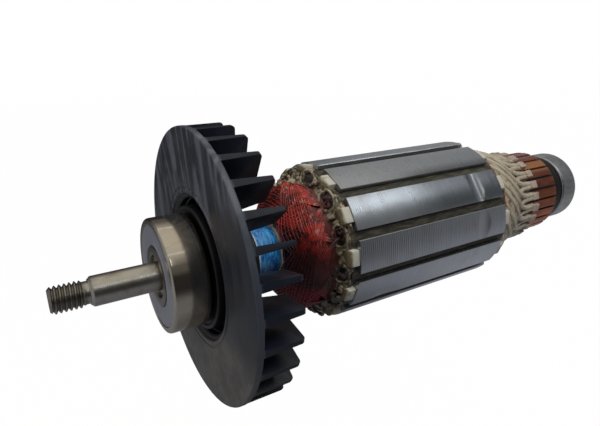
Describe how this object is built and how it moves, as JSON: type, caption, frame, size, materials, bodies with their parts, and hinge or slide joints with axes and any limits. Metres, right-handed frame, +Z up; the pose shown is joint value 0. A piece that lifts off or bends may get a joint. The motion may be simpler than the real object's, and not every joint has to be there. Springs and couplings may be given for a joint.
{
  "type": "motor armature",
  "caption": "Wound rotor of a small commutator motor: threaded shaft, sealed ball bearings, radial cooling fan, slotted steel core, red and cream windings, copper commutator with hooks.",
  "frame": {"origin": "centre of the drive-end bearing, on the shaft axis", "axes": "+X along the shaft towards the commutator, +Z up, +Y to the left seen from the thread"},
  "size_m": [0.1371, 0.0544, 0.0544],
  "materials": {
    "turned_steel": "turned and ground, with a warm tint",
    "bearing_steel": "ground and polished",
    "ball_steel": "polished",
    "cage_plastic": "moulded",
    "seal_rubber": "smooth grey",
    "black_rubber": "smooth black",
    "fan_plastic": "satin charcoal, glass filled",
    "cream_plastic": "matt, with varnish stains",
    "blue_tape": "glossy wrapped film",
    "lamination_steel": "turned over the stack, fine lines across the axis",
    "liner_paper": "varnished brown",
    "wedge_fibre": "dark olive fibre",
    "red_enamel_wire": "glossy red enamel under varnish",
    "cream_resin": "cream resin over the turns",
    "black_moulding": "phenolic moulding",
    "commutator_copper": "turned copper, slightly tarnished"
  },
  "bodies": {
    "drive_ring": {"drive_outer_ring": "bearing_steel", "drive_front_seal": "seal_rubber", "drive_rear_seal": "seal_rubber"},
    "rotor": {"shaft": "turned_steel", "drive_inner_ring": "bearing_steel", "dust_ring": "black_rubber", "fan": "fan_plastic", "shaft_insulation": "cream_plastic", "tape_wrap": "blue_tape", "lamination_core": "lamination_steel", "front_insulator": "cream_plastic", "rear_insulator": "cream_plastic", "slot_liners": "liner_paper", "coil_sides": "red_enamel_wire", "slot_wedges": "wedge_fibre", "front_end_winding": "red_enamel_wire", "rear_end_winding": "cream_resin", "commutator_leads": "cream_resin", "commutator_moulding": "black_moulding", "commutator_bars": "commutator_copper", "rear_ring": "black_rubber", "rear_inner_ring": "bearing_steel"},
    "drive_ball_set": {"drive_balls": "ball_steel", "drive_cage": "cage_plastic"},
    "rear_ball_set": {"rear_balls": "ball_steel", "rear_cage": "cage_plastic"},
    "rear_ring_body": {"rear_outer_ring": "bearing_steel", "rear_front_seal": "seal_rubber", "rear_rear_seal": "seal_rubber"}
  },
  "joints": [
    {"name": "rotor_spin", "type": "hinge", "parent": "drive_ring", "child": "rotor", "pos_m": [0, 0, 0], "axis": [1, 0, 0], "continuous": true},
    {"name": "drive_balls_spin", "type": "hinge", "parent": "drive_ring", "child": "drive_ball_set", "pos_m": [0, 0, 0], "axis": [1, 0, 0], "continuous": true},
    {"name": "rear_ring_spin", "type": "hinge", "parent": "rotor", "child": "rear_ring_body", "pos_m": [0.11181, 0, 0], "axis": [1, 0, 0], "continuous": true},
    {"name": "rear_balls_spin", "type": "hinge", "parent": "rotor", "child": "rear_ball_set", "pos_m": [0.11181, 0, 0], "axis": [1, 0, 0], "continuous": true}
  ],
  "couplings": [
    {"joint": "drive_balls_spin", "follows": "rotor_spin", "ratio": 0.3677},
    {"joint": "rear_balls_spin", "follows": "rear_ring_spin", "ratio": 0.6527}
  ]
}
